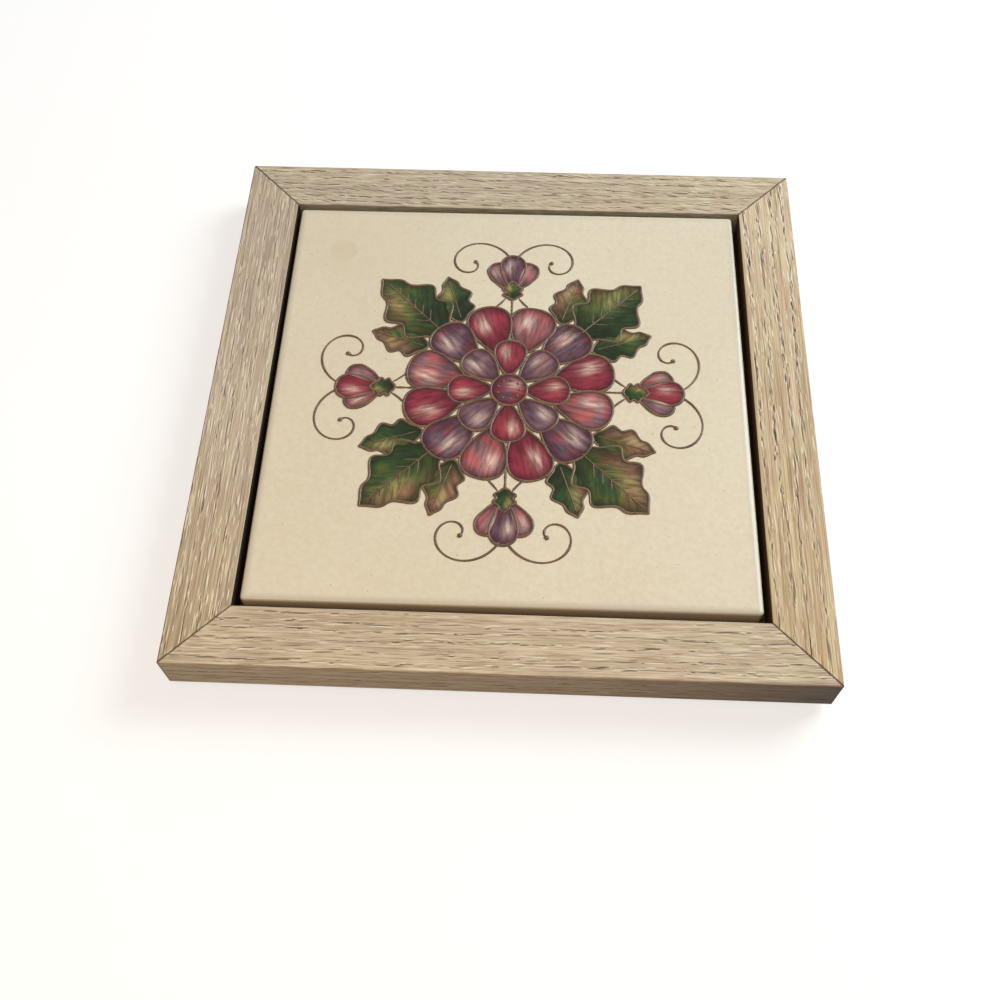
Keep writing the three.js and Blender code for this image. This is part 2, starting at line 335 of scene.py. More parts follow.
# %% Divide the seen faces
ALONG_CUTS, TOP_CUTS, OUTER_CUTS, WALL_CUTS = 15, 135, 89, 23
LONG_EDGE = 5 * MM


def divide(piece, test, cuts):
    """Divide the edges that pass the test."""
    choose(piece, "EDGE", test)
    bpy.ops.mesh.subdivide(number_cuts=cuts)


for step in range(2):
    divide(blank, lambda p: lies_at(p, p[0, 1], p[0, 2]), ALONG_CUTS)
# The axis that a face lies across, the axis that its long edges run along, its place and its cuts
for across, run, place, cuts in ((2, 1, RAIL_TOP, TOP_CUTS), (1, 2, -HALF_FRAME, OUTER_CUTS),
                                 (1, 2, rail_inner, WALL_CUTS)):
    divide(blank, lambda p: all_near(p[:, across], place) and np.ptp(p[:, run]) > LONG_EDGE, cuts)
pick(blank)
print("rail blank points:", len(blank.data.vertices))

# %% [markdown]
# ## The grain
# Oak is ring-porous: each spring the tree makes a row of wide pores, so a sawn face shows rows of short dark
# dashes with smooth late wood between them. Liming rubs white wax into the brushed surface, and it stays as
# pale lips beside the pores; these lips are also a painted highlight, the glint on the edge of each pore. A
# noise texture gives dashes everywhere alike, which doesn't read as oak. Here each dash is drawn on its own,
# along a row that wanders slowly, and the same drawing then carves the mesh and colours it.

# %% Draw the rows of pores
def draw_pores(along, across, style, rng):
    """How far each point lies in a pore, in a pale lip and in early wood, from 0 to 1."""
    pore, lip, early = np.zeros_like(along), np.zeros_like(along), np.zeros_like(along)
    order = np.argsort(along)
    in_order = along[order]
    start, end = in_order[[0, -1]]
    low, high = across.min(), across.max()
    pitch = style["row_pitch"]

    def dash(centre, middle, length, width, depth, lip_chance):
        """Draw one pore, with or without a pale lip beside it, of wax and painted highlight."""
        near = order[slice(*np.searchsorted(in_order, (centre - length / 2, centre + length / 2)))]
        run = (along[near] - centre) / (length / 2)
        swell = np.sqrt(np.clip(1 - run ** 2, 0, 1))
        slope = style["lean"] + np.interp(centre, (start, end), style["slant"]) * rng.uniform(0.2, 1.4)
        wobble = style["wobble"] * width * np.sin(rng.uniform(2, 5) * run + rng.uniform(0, math.tau))
        off = across[near] - middle - slope * (along[near] - centre) - wobble
        pore[near] = np.maximum(pore[near], depth * swell * np.exp(-(off / width) ** 2))
        if rng.random() < lip_chance:
            beside = rng.choice((-1, 1)) * rng.uniform(1.7, 2.8) * width
            wax_and_highlight = rng.uniform(0.3, 1.0) * swell * np.exp(-((off - beside) / width) ** 2)
            lip[near] = np.maximum(lip[near], wax_and_highlight)

    for row in np.arange(low - pitch, high + pitch, pitch):
        wave, phase = rng.uniform(90, 170) * MM, rng.uniform(0, math.tau)
        base = row + rng.uniform(-0.2, 0.2) * pitch

        def line(place):
            """Where the row lies at this place along the rail."""
            return base + style["lean"] * place + 0.12 * pitch * np.sin(math.tau * place / wave + phase)

        early = np.maximum(early, np.exp(-((across - line(along)) / (0.3 * pitch)) ** 2))
        place = start
        while place < end:
            length = rng.uniform(*style["pore_length"]) * rng.choice((0.5, 1.0, 1.6))
            middle = line(place + length / 2) + rng.normal(0, 0.08) * pitch
            width, depth = rng.uniform(*style["pore_width"]), rng.beta(2, 1.6)
            dash(place + length / 2, middle, length, width, depth, style["lip_chance"])
            place += length * rng.uniform(*style["pore_gap"])
    for stray in range(style["stray_pores"]):
        centre, middle = rng.uniform(start, end), rng.uniform(low, high)
        length, width = rng.uniform(1.5, 6) * MM, rng.uniform(0.11, 0.17) * MM
        dash(centre, middle, length, width, rng.uniform(0.1, 0.55), style["lip_chance"] ** 3)
    return pore, lip * (1 - pore), early


print("pores can be drawn")

# %% Move points and keep drawings
def move_points(piece, points):
    """Put the points of a piece at new places."""
    piece.data.vertices.foreach_set("co", points.astype(np.float32).ravel())
    piece.data.update()


def store(piece, **layers):
    """Keep one number for each point under each name, for the material to read."""
    for name, values in layers.items():
        layer = piece.data.attributes.new(name, "FLOAT", "POINT")
        layer.data.foreach_set("value", np.asarray(values, np.float32))


def unroll(piece, name, flat):
    """Keep a flat place for each point as the UV map of a piece."""
    corners = np.empty(len(piece.data.loops), np.int32)
    piece.data.loops.foreach_get("vertex_index", corners)
    layer = piece.data.uv_layers.active or piece.data.uv_layers.new()
    layer.name = name
    layer.data.foreach_set("uv", flat[corners].astype(np.float32).ravel())


print("drawings can be kept")

# %% Carve the grain
PORE_DEPTH = 0.12 * MM
LIP_RISE = 0.03 * MM
MITRE_FADE = 0.4 * MM
ARRIS_FADE = 0.6 * MM
CHIP_WIDTH = 0.45 * MM
CHIP_PITCH = 0.7 * MM
JOINT_SHADE = 0.2 * MM


def carve_grain(rail, style):
    """Carve the pores into a rail that lies at the front, and keep the drawing for its material."""
    points = points_of(rail)
    down = RAIL_TOP - points[:, 2]
    inward = points[:, 1] + HALF_FRAME
    along, across = points[:, 0], inward - down
    pore, lip, early = draw_pores(along, across, style, np.random.default_rng(style["seed"]))
    share = (along / HALF_FRAME + 1) / 2
    worked = np.interp(share, (0, 1), style["worked"])
    pore, lip = np.clip(pore * worked, 0, 1), np.clip(lip * worked, 0, 1)
    # The pores fade out just before the mitres and the inner arris
    to_mitre = (HALF_FRAME - inward - np.abs(along)) * DIAGONAL - MITRE_GAP / 2
    to_arris = np.clip((RAIL_WIDTH - inward) / ARRIS_FADE - 1, 0, 1)
    seen_face = np.minimum(down, inward) < EDGE_EASING + TINY
    seen_face &= points[:, 2] > RAIL_BOTTOM + EDGE_EASING + TINY
    fade = seen_face * np.clip(to_mitre / MITRE_FADE, 0, 1) * to_arris
    normals = np.empty(3 * len(points), np.float32)
    rail.data.vertices.foreach_get("normal", normals)
    lift = fade * (lip * LIP_RISE - pore * PORE_DEPTH)
    move_points(rail, points + normals.reshape(-1, 3) * lift[:, None])
    # Pale chips and a dark line along the mitres, painted shade on the wall beside the tile, and painted
    # shade along the outer edges and on the outer face
    chips = np.exp(-(to_mitre / CHIP_WIDTH) ** 2) * (np.sin(inward / CHIP_PITCH + style["seed"]) > 0.55)
    joint_line = 0.4 * np.exp(-(to_mitre / JOINT_SHADE) ** 2)
    # Painted shade: the inner wall beside the tile gets each rail's own dark colour
    wall = (inward > RAIL_WIDTH - TINY) & (down > INNER_EASING - TINY)
    # Painted shade: the outer edges are coloured darker, and the outer face darkens towards one end
    outer_edge = style["edge"] * (np.maximum(down, inward) < EDGE_EASING - TINY)
    outer_face = style["face_shade"] * share ** 2.5 * ((inward < TINY) & (down > EDGE_EASING - TINY))
    store(rail, pore=np.maximum(pore * fade, joint_line), lip=np.maximum(lip * fade, 0.6 * chips),
          early=early * seen_face, wall=wall, grime=np.maximum(outer_edge, outer_face))
    unroll(rail, "grain", np.stack([along, across], axis=1))
    return int((pore > 0.3).sum())


print("pores can be carved", PORE_DEPTH / MM, "mm deep")

# %% [markdown]
# ## Limed oak
# The wood is oak, wire-brushed and limed, with a dry wax: matt, with silvery streaks over a warm brown. The
# dark pores and pale lips come from the drawing above. Between them, stretched noises give the streaks, the
# fibres and patches where the lime took unevenly. The finest fibres of oak are thinner than a pixel, so they
# are drawn about 0.28 mm wide to show. Each rail was cut from another strip, so each has its own tones, and
# a tint that changes slowly along it, partly the wood's own tone and partly painted shade.

# %% Limed oak
# Settings of a Mix node. In soft light, the neutral grey changes nothing.
BLEND = {"data_type": "RGBA"}
MULTIPLY = BLEND | {"blend_type": "MULTIPLY"}
SOFT_LIGHT = BLEND | {"blend_type": "SOFT_LIGHT"}
NEUTRAL = "#bcbcbc"
# Length and width along the grain, detail and roughness of each noise. A rail has its own length of fibre.
STREAK = (80 * MM, 1.5 * MM, 3, 0.5)
FIBRE = (0.28 * MM, 4, 0.6)
PATCH = (18 * MM, 6 * MM, 1, 0.5)
FIBRE_SHADES = ((0.32, "#b8ad9c"), (0.50, "#ebe5db"), (0.64, "#ffffff"))
PATCH_SHADES = ((0.35, "#b8b5b7"), (0.5, NEUTRAL), (0.65, "#c1c3be"))
# Colours of the painted shade on the outer edges and the outer face
PAINTED_SHADE_TONES = ((0.0, "#7a4f20"), (0.5, "#4a3118"), (1.0, "#33220e"))
# The pale lips: lime wax, and painted highlight on the edge of each pore
LIME_WAX_AND_HIGHLIGHT = "#f5ecda"


def coat(node, base, value, span, hex_colour):
    """Blend a colour over a base. The span holds two values and the share of the colour at each."""
    return node("Mix", (node("MapRange", (value, *span)), base, linear(hex_colour)), **BLEND)


def limed_oak(name, style):
    """Brushed and limed oak: dry and matt, with fine fibres, dark pores, and pale lips of wax and painted
    highlight.
    """
    material, node = new_material("limed_oak_" + name)
    grain = node("UVMap", uv_map="grain")
    early, lip, pore, grime, wall = [node("Attribute", output="Fac", attribute_name=layer)
                                     for layer in ("early", "lip", "pore", "grime", "wall")]
    shift = (style["seed"] * 0.37, style["seed"] * 0.11, 0)
    noises = []
    for length, width, detail, rough in (STREAK, (style["fibre"], *FIBRE), PATCH):
        place = node("Mapping", {"Vector": grain, "Location": shift, "Scale": (1 / length, 1 / width, 1)})
        noises.append(node("TexNoise", (place, 1, detail, rough), noise_dimensions="2D"))
    streak, fibre, patch = noises
    wood = node("ValToRGB", streak, stops=tuple(zip((0.30, 0.52, 0.72), style["wood"])))
    shade = node("ValToRGB", fibre, stops=FIBRE_SHADES)
    fibrous = node("Mix", (1.0, wood, shade), **MULTIPLY)
    ringed = coat(node, fibrous, early, (0, 1, 0, 0.4), style["early"])
    # Pale lips: lime wax, and partly a painted highlight on the edge of each pore
    waxed_and_highlit = coat(node, ringed, lip, (0, 1, 0, style["lip_strength"]), LIME_WAX_AND_HIGHLIGHT)
    pored = coat(node, waxed_and_highlit, pore, (0.08, 0.62, 0, style["pore_strength"]), style["pore"])
    run = node("SeparateXYZ", grain, output="X")
    share = node("MapRange", (run, -HALF_FRAME, HALF_FRAME, 0.0, 1.0))
    # Partly painted shade: the tint along the rail also darkens it where less light falls, as at the front of
    # the right rail
    tint_and_shade = node("ValToRGB", share, stops=tuple(zip((0.0, 0.5, 1.0), style["tints_and_shade"])))
    tinted_and_shaded = node("Mix", (1.0, pored, tint_and_shade), **SOFT_LIGHT)
    uneven = node("ValToRGB", patch, stops=PATCH_SHADES)
    patchy = node("Mix", (1.0, tinted_and_shaded, uneven), **SOFT_LIGHT)
    # Painted shade on the outer edges and the outer face, darkening the wood to brown-black
    painted_shade_colour = node("ValToRGB", grime, stops=PAINTED_SHADE_TONES)
    with_painted_shade = node("Mix", (grime, patchy, painted_shade_colour), **BLEND)
    # Painted shade in the slit beside the tile: the wall colour is darkest on the left, right and front rails
    wall_painted_shade = node("Mix", (1.0, linear(style["wall"]), shade), **MULTIPLY)
    with_wall_shade = node("Mix", (wall, with_painted_shade, wall_painted_shade), **BLEND)
    dry = node("MapRange", (fibre, 0.3, 0.7, 0.78, 0.6))
    bump = node("Bump", {"Height": fibre, "Strength": 0.3, "Distance": 0.08 * MM})
    surface = node("BsdfPrincipled", {"Base Color": with_wall_shade, "Roughness": dry, "Normal": bump, "IOR": 1.46})
    node("OutputMaterial", {"Surface": surface})
    return material


print("limed oak ready")

# %% [markdown]
# ## The four rails
# The blank is copied for each side, carved with that rail's own grain while it still lies at the front, and
# then turned into its place. The left rail is the greyest and most limed, with long fine pores. The right one
# is warm, and its open pores slant more towards the back. The back one has short slanting pores. The front
# rail's outer face is painted darker to the right, as painted shade.

# %% Styles of the rails
# Pairs of a slant or of worked go from one end of the rail to the other, and so do the tints. Worked says how
# far the brush opened the pores, and the edge and face values how much painted shade darkens the outer edges
# and the outer face.
COMMON = dict(pore_length=(1.5 * MM, 5 * MM), pore_gap=(0.3, 1.2), wobble=0.3, lip_strength=0.8,
              pore_strength=1.0, stray_pores=700, worked=(1.0, 1.0), face_shade=0.2, tints_and_shade=(NEUTRAL,) * 3)
# The wall colours below are painted shade for the slit beside the tile, not the colour of the wood
RAIL_STYLES = {
    "front": COMMON | dict(
        seed=11, row_pitch=3.2 * MM, pore_width=(0.12 * MM, 0.21 * MM), slant=(0.03, 0.03), lean=0.004,
        fibre=12 * MM, lip_chance=0.7, pore_strength=0.9, stray_pores=450, edge=0.2, face_shade=0.95, wall="#3a2a1a",
        wood=("#bfb19b", "#d0c3ae", "#dcd1bd"), early="#b9aa94", pore="#4a3722"),
    "right": COMMON | dict(
        seed=23, row_pitch=4.5 * MM, pore_length=(1.4 * MM, 5.5 * MM), pore_gap=(0.1, 0.65), wobble=0.2,
        pore_width=(0.12 * MM, 0.2 * MM), slant=(0.015, 0.1), lean=-0.004, fibre=30 * MM, lip_chance=0.9,
        lip_strength=1.0, worked=(0.8, 1.15), edge=0.1, wall="#44301d",
        tints_and_shade=("#acaba3", "#b4b6b4", "#cacbcc"), wood=("#bfab8e", "#d2bfa3", "#e2d2ba"), early="#c2ad8f",
        pore="#432d16"),
    "back": COMMON | dict(
        seed=37, row_pitch=2.8 * MM, pore_width=(0.13 * MM, 0.23 * MM), slant=(-0.15, -0.15), lean=0.0,
        fibre=7 * MM, lip_chance=0.6, edge=0.6, wall="#a7a59e", tints_and_shade=("#bfbeb5", "#bcbdbf", "#b8bbbb"),
        wood=("#b9ac98", "#cabeab", "#d7cdbb"), early="#b8aa95", pore="#483620"),
    "left": COMMON | dict(
        seed=41, row_pitch=4.5 * MM, pore_length=(2.5 * MM, 8 * MM), pore_gap=(0.3, 1.1), wobble=0.15,
        pore_width=(0.1 * MM, 0.16 * MM), slant=(0.02, 0.02), lean=0.006, fibre=26 * MM, lip_chance=1.0,
        lip_strength=1.0, pore_strength=0.9, stray_pores=1000, worked=(0.75, 1.35), edge=0.75, wall="#2a1c0e",
        tints_and_shade=("#acacaf", "#bfc0c3", "#adaa9f"), wood=("#b6a998", "#c7baa8", "#d4c9b8"), early="#b5a793",
        pore="#4f3f2e"),
}
print("styles:", list(RAIL_STYLES))

# %% Carve, turn and dress the rails
SOFT_EDGE = math.radians(50)


def copy_piece(piece, name):
    """A copy with its own mesh."""
    pick(piece)
    bpy.ops.object.duplicate(linked=False)
    twin = bpy.context.object
    twin.name = name
    twin.data.name = name
    return twin


def turn_round(piece, quarters):
    """Turn a piece about the middle of the frame by quarter turns, and put the turn into its mesh."""
    pick(piece)
    piece.rotation_euler.z = math.radians(90 * quarters)
    bpy.ops.object.transform_apply()


def hand_over(piece, material, slot, *nodes):
    """Dress a finished piece, tie it to the frame, and let it stand for CAD nodes."""
    piece.data.materials.clear()
    piece.data.materials.append(material)
    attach(piece, "root")
    if nodes:
        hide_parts(*nodes)


for quarters, (name, style) in enumerate(RAIL_STYLES.items()):
    rail = copy_piece(blank, "oak_rail_" + name)
    carved = carve_grain(rail, style)
    turn_round(rail, quarters)
    bpy.ops.object.shade_smooth_by_angle(angle=SOFT_EDGE)
    hand_over(rail, limed_oak(name, style), "limed_oak", "rail_" + name)
    print(name, "rail: points in pores", carved)
bpy.data.objects.remove(blank)

# %% [markdown]
# ## The glazed tile
# The tile is pressed from clay and glazed, and the glaze rounds every edge as it melts. A plain box with a
# bump can't show that soft edge, so the upright corners are bevelled first and then the whole top rim with
# them. The face also falls off towards its edges, like a pillow. A grid of straight cuts gives the points for
# that. The tile was set by hand and sits a fifth of a degree askew, with the wider slit on its right.

# %% Tile body
CORNER_RADIUS = 1.4 * MM
RIM_RADIUS = 0.6 * MM
RIM_STEPS = 8
PILLOW_WIDTH = 2.6 * MM
PILLOW_DROP = 0.45 * MM
TOP_DEPTH = 2 * MM
# How far the cuts lie from the edge: close together on the pillow and far apart within
CUT_INSETS_MM = (0.8, 1.0, 1.2, 1.4, 1.7, 2.0, 2.3, 2.6, 16, 30, 45, 60)
TILE_TURN = math.radians(0.2)
TILE_SHIFT = (-0.3 * MM, 0.55 * MM)


def upright(p):
    """True for an edge that stands up."""
    return np.ptp(p[:, 2]) > 1 * MM


def settle(piece):
    """Turn and shift a piece of the tile a little, as the hand that set the tile left it."""
    points = points_of(piece)
    turned = math.cos(TILE_TURN) * points[:, :2] + math.sin(TILE_TURN) * points[:, 1::-1] * (-1, 1)
    points[:, :2] = turned + TILE_SHIFT
    move_points(piece, points)


tile = start_piece("glazed_tile", bpy.ops.mesh.primitive_cube_add, size=1,
                   location=(tile_low + tile_high) / 2, scale=tile_high - tile_low)
ease(tile, upright, CORNER_RADIUS, RIM_STEPS)
ease(tile, lambda p: all_near(p[:, 2], TILE_TOP), RIM_RADIUS, RIM_STEPS)
cuts = [TILE_HALF - inset * MM for inset in CUT_INSETS_MM] + [0]
for cut in sorted({place * sign for place in cuts for sign in (-1, 1)}):
    for across in ((1, 0, 0), (0, 1, 0)):
        cut_through([cut * part for part in across], across)
pick(tile)
points = points_of(tile)
to_edge = TILE_HALF - np.abs(points[:, :2]).max(axis=1)
rim = np.clip(1 - to_edge / PILLOW_WIDTH, 0, 1) * (points[:, 2] > TILE_TOP - TOP_DEPTH)
points[:, 2] -= rim ** 3 * PILLOW_DROP
move_points(tile, points)
store(tile, rim=rim)
settle(tile)
bpy.ops.object.shade_smooth_by_angle(angle=math.radians(40))
print("tile faces:", len(tile.data.polygons))

# %% [markdown]
# ## Cream glaze
# A tin-white glaze over pale clay: satin bright, with fine mottling where the oxide gathers, a few dark
# specks from the kiln, and a faint ripple some millimetres wide. The glaze runs off the rim as it melts, so
# it is thin and greyer there, and the greyer rim is also painted shade on the rolled edge. The back left
# corner has a faint round mark, and the tile is painted darker towards that corner: painted shade.

# %% Cream glaze
STAIN_PLACE = (-58.6 * MM, 56.1 * MM, TILE_TOP)
STAIN_RADIUS = 5.2 * MM
# Where the painted shade towards the back left corner starts and fades out
SHADE_START, SHADE_END = 4 * MM, 75 * MM
cream_glaze, node = new_material("cream_tin_glaze")
place = node("TexCoord", output="Object")
# A noise takes its place, its scale, from a size in millimetres, its detail and its roughness
mottle = node("TexNoise", (place, 1 / (1.6 * MM), 4, 0.6))
cloud = node("TexNoise", (place, 1 / (45 * MM), 2))
grit = node("TexNoise", (place, 1 / (0.9 * MM), 0))
ripple = node("TexNoise", (place, 1 / (6 * MM), 1))
ground = node("ValToRGB", cloud, stops=((0.3, "#dbd3be"), (0.5, "#ddd5c1"), (0.7, "#dfd8c4")))
mottling = node("ValToRGB", mottle, stops=((0.32, "#f8f5f1"), (0.66, "#ffffff")))
mottled = node("Mix", (1.0, ground, mottling), **MULTIPLY)
from_stain = node("VectorMath", (place, STAIN_PLACE), operation="DISTANCE")
marked = coat(node, mottled, from_stain, (STAIN_RADIUS, 0.8 * STAIN_RADIUS, 0, 0.4), "#ccbd9c")
# Painted shade: darker towards the back left corner, fading out over most of the tile
shaded_towards_corner = coat(node, marked, from_stain, (SHADE_START, SHADE_END, 0.4, 0), "#cfc4ac")
rim = node("Attribute", output="Fac", attribute_name="rim")
# Greyer towards the rim: partly thin glaze, partly painted shade on the rolled edge
thinned_and_shaded = coat(node, shaded_towards_corner, rim, (0, 0.7, 0, 0.85), "#c4bdad")
specked = coat(node, thinned_and_shaded, grit, (0.83, 0.87, 0, 0.45), "#8d7b5f")
satin = node("MapRange", (mottle, 0.3, 0.7, 0.16, 0.24))
bump = node("Bump", {"Height": ripple, "Strength": 0.25, "Distance": 0.1 * MM})
surface = node("BsdfPrincipled", {"Base Color": specked, "Roughness": satin, "Normal": bump, "IOR": 1.5,
                                       "Specular IOR Level": 0.3})
node("OutputMaterial", {"Surface": surface})
hand_over(tile, cream_glaze, "cream_glaze", "tile")
print("tile glazed")

# %% [markdown]
# ## The decoration: pools of coloured glaze
# The tile is decorated by hand with raised lines of slip, and each cell between them holds a pool of coloured
# glaze. The design here is a plain rosette: two rings of petals, buds on the axes, leaves on the diagonals. A
# pool could be a painted patch in the tile's material, but the real ones swell a little and darken at their
# rims. So each starts as a ball, pressed flat, whose outline is drawn out to a petal or a leaf, and remembers
# how near each point is to the rim.

# %% Outlines
def petal_outline(turn, length, half_width):
    """A petal: narrow at its base, broad and round at its tip."""
    across = half_width * np.sin(turn) * (1 + 0.5 * np.cos(turn))
    return np.stack([length / 2 * np.cos(turn), across], axis=-1)


def leaf_outline(turn, length, half_width):
    """A leaf: pointed at both ends, with a wavy margin."""
    wavy = 1 + 0.2 * np.cos(9 * turn) * np.abs(np.sin(turn))
    across = half_width * np.sin(turn) * np.abs(np.sin(turn)) ** 0.7 * wavy * (1 - 0.3 * np.cos(turn))
    return np.stack([length / 2 * np.cos(turn), across], axis=-1)


def round_outline(turn, length, half_width):
    """A round centre."""
    return np.stack([length / 2 * np.cos(turn), half_width * np.sin(turn)], axis=-1)


def set_down(flat, centre, heading):
    """Turn a flat outline to its heading and move it to its centre."""
    c, s = math.cos(heading), math.sin(heading)
    x, y = flat[:, 0], flat[:, 1]
    return np.stack([c * x - s * y + centre[0], s * x + c * y + centre[1]], axis=-1)


print("petal reaches", petal_outline(np.array([0.0]), 20, 6)[0])

# %% One pool
POOL_SWELL = 0.2 * MM
POOL_SEGMENTS, POOL_RINGS = 64, 14
VEIN_HEADING = math.radians(40)


def glaze_pool(name, outline, size, centre, heading, lift, tone):
    """One pool of glaze, half sunk into the tile."""
    pool = start_piece(name, bpy.ops.mesh.primitive_uv_sphere_add, segments=POOL_SEGMENTS,
                       ring_count=POOL_RINGS, radius=1)
    ball = points_of(pool)
    rim = np.hypot(ball[:, 0], ball[:, 1]).clip(0, 1)
    flat = outline(np.arctan2(ball[:, 1], ball[:, 0]), *size) * rim[:, None]
    height = TILE_TOP + lift + POOL_SWELL * ball[:, 2]
    move_points(pool, np.column_stack([set_down(flat, centre, heading), height]))
    reach, beside = flat[:, 0] / size[0] + 0.5, flat[:, 1] / size[1]
    gleam = np.exp(-((reach - 0.64) / 0.17) ** 2 - ((beside - 0.3) / 0.3) ** 2)
    aside, turn = flat[:, 1], 0
    if outline is leaf_outline:
        # A leaf breaks to brown towards its tip and one side, and is brushed along its veins
        tone = tone + (0.5 * reach ** 2 + 0.4 * np.clip(beside + 0.1, 0, 0.6) / 0.6)
        aside, turn = np.abs(aside), VEIN_HEADING
    store(pool, rim=rim, reach=reach, gleam=gleam, tone=tone + 0 * rim)
    unroll(pool, "brush", set_down(np.stack([flat[:, 0], -aside], axis=-1), centre, turn))
    return pool


print("pool swells", POOL_SWELL / MM, "mm")

# %% [markdown]
# ## Slip lines
# The outlines are trailed from a fine nozzle, so they are round in section, swell a little where the hand
# slows, and end in a round drop. A curve with a round bevel gives just that. All lines are splines of one
# curve, which is turned into a mesh and pressed flatter at the end. The maker never trails one line over
# another cell, so each line is cut where a later cell covers it.

# %% Trail the slip
SLIP_RADIUS = 0.42 * MM
SLIP_PRESS = 0.62
hand = np.random.default_rng(7)
pick()
bpy.ops.curve.primitive_nurbs_path_add()
slip = bpy.context.object
slip.name = "slip_lines"
slip.data.splines.clear()
slip.data.dimensions = "3D"
slip.data.bevel_depth = SLIP_RADIUS
slip.data.bevel_resolution = 2
slip.data.use_fill_caps = True


def trail(flat, lift, width=1.0, closed=False, drop=1.0):
    """Trail one line of slip along flat points, with an uneven width and a drop at an open end."""
    count = len(flat)
    spline = slip.data.splines.new("POLY")
    spline.points.add(count - 1)
    height = TILE_TOP + np.broadcast_to(lift, count) / SLIP_PRESS
    places = np.column_stack([flat, height, np.ones(count)])
    spline.points.foreach_set("co", places.astype(np.float32).ravel())
    waves = np.arange(count) * math.tau / count * hand.integers(2, 5)
    uneven = width * (1 + 0.16 * np.sin(waves + hand.uniform(0, math.tau)))
    if not closed:
        lengths = np.hypot(*np.diff(flat, axis=0).T)
        to_end = np.append(np.cumsum(lengths[::-1])[::-1], 0)
        ball = drop * width * SLIP_RADIUS
        swell = np.sqrt(np.clip(ball ** 2 - (to_end - ball) ** 2, 0, None)) / SLIP_RADIUS
        uneven = np.maximum(np.where(to_end > ball, uneven, 0.02), swell)
    spline.points.foreach_set("radius", uneven.astype(np.float32))
    spline.use_cyclic_u = closed


print("slip can be trailed")

# %% Trail what is not covered
def inside(points, outline):
    """True for the flat points that lie inside a closed outline."""
    hits = np.zeros(len(points), bool)
    for a, b in zip(outline, np.roll(outline, -1, axis=0)):
        if a[1] != b[1]:
            crossing = a[0] + (points[:, 1] - a[1]) * (b[0] - a[0]) / (b[1] - a[1])
            hits ^= ((a[1] > points[:, 1]) != (b[1] > points[:, 1])) & (points[:, 0] < crossing)
    return hits


def trail_uncovered(flat, lift, cover, closed=False, **settings):
    """Trail the stretches of a line that no outline of the cover hides."""
    hidden = np.zeros(len(flat), bool)
    for outline in cover:
        hidden |= inside(flat, outline)
    if not hidden.any():
        trail(flat, lift, closed=closed, **settings)
        return
    if closed:
        start = int(np.argmax(hidden))
        flat, hidden = np.roll(flat, -start, axis=0), np.roll(hidden, -start)
    seen_steps = np.flatnonzero(~hidden)
    for run in np.split(seen_steps, np.flatnonzero(np.diff(seen_steps) > 1) + 1):
        if len(run) > 1:
            trail(flat[max(run[0] - 1, 0):run[-1] + 2], lift, **settings)


print("slip curve ready")

# %% [markdown]
# ## Laying out the rosette
# The layout repeats around the centre, so it is made in loops, lowest pieces first: leaves and buds, then the
# outer petals, the inner ones and the centre. A seeded shake of each size and heading keeps it from looking
# printed.

# %% Lay one cell
FULL_TURN = np.linspace(0, math.tau, 120, endpoint=False)
pools = {"petals": [], "leaves": []}
outlines = []


def polar(distance, bearing):
    """A flat point at a distance, in millimetres, and a bearing from the centre."""
    return np.array([distance * MM * math.cos(bearing), distance * MM * math.sin(bearing)])


def lay(kind, outline, size, distance, bearing, heading, lift, tone):
    """Lay one pool, with sizes in millimetres, and keep and return its outline."""
    shake = 1 + hand.uniform(-0.04, 0.04, 2)
    size = (size[0] * MM * shake[0], size[1] * MM * shake[1])
    heading = heading + math.radians(hand.uniform(-2.5, 2.5))
    centre = polar(distance, bearing)
    number = len(pools[kind])
    pools[kind].append(glaze_pool(f"{kind}_{number}", outline, size, centre, heading, lift * MM, tone))
    line = set_down(outline(FULL_TURN, *size), centre, heading)
    outlines.append((line, lift * MM))
    return line


print("cells can be laid")

# %% Lay out the pools
# Length and half width of each cell, in millimetres
LEAF, SIDE_LEAF, SEPAL, BUD, BUD_SIDE = (31, 9.2), (20, 5.2), (8, 3.0), (15, 4.0), (12.5, 3.4)
OUTER_PETAL, INNER_PETAL, CENTRE = (19.5, 6.6), (14.5, 4.7), (11.5, 5.75)
# Distances from the centre, in millimetres, and angles off the axis or the diagonal
LEAF_AT, SIDE_LEAF_AT, SEPAL_AT, BUD_AT, BUD_SIDE_AT = 45.5, 40.5, 40, 47.5, 46
SIDE_LEAF_OFF, SIDE_LEAF_TURN = math.radians(17), math.radians(27)
BUD_SIDE_OFF, BUD_SIDE_TURN = math.radians(4.6), math.radians(24)
# Count, size, distance, lift, tones and first step of the two rings of petals
PETAL_RINGS = ((12, OUTER_PETAL, 24, 0.07, (0.05, 0.55, 0.9), 0.5),
               (8, INNER_PETAL, 12.2, 0.12, (0.15, 0.7), 0))
QUARTERS = [(math.radians(90 * quarter), math.radians(90 * quarter + 45)) for quarter in range(4)]
LINE_RISE = 0.04 * MM
big_leaves, rings = [], []
for quarter, (axis, corner) in enumerate(QUARTERS):
    for side in (-1, 1):
        lay("leaves", leaf_outline, SIDE_LEAF, SIDE_LEAF_AT, corner + side * SIDE_LEAF_OFF,
            corner + side * SIDE_LEAF_TURN, 0.0, 0.22 + 0.2 * side)
    big_leaves.append(lay("leaves", leaf_outline, LEAF, LEAF_AT, corner, corner, 0.05, 0.08 * quarter))
    for side in (-1, 1):
        lay("petals", petal_outline, BUD_SIDE, BUD_SIDE_AT, axis + side * BUD_SIDE_OFF,
            axis + side * BUD_SIDE_TURN, 0.03, 0.85)
    lay("petals", petal_outline, BUD, BUD_AT, axis, axis, 0.08, 0.15 + 0.4 * (quarter % 2))
    lay("leaves", leaf_outline, SEPAL, SEPAL_AT, axis, axis, 0.12, 0.1)
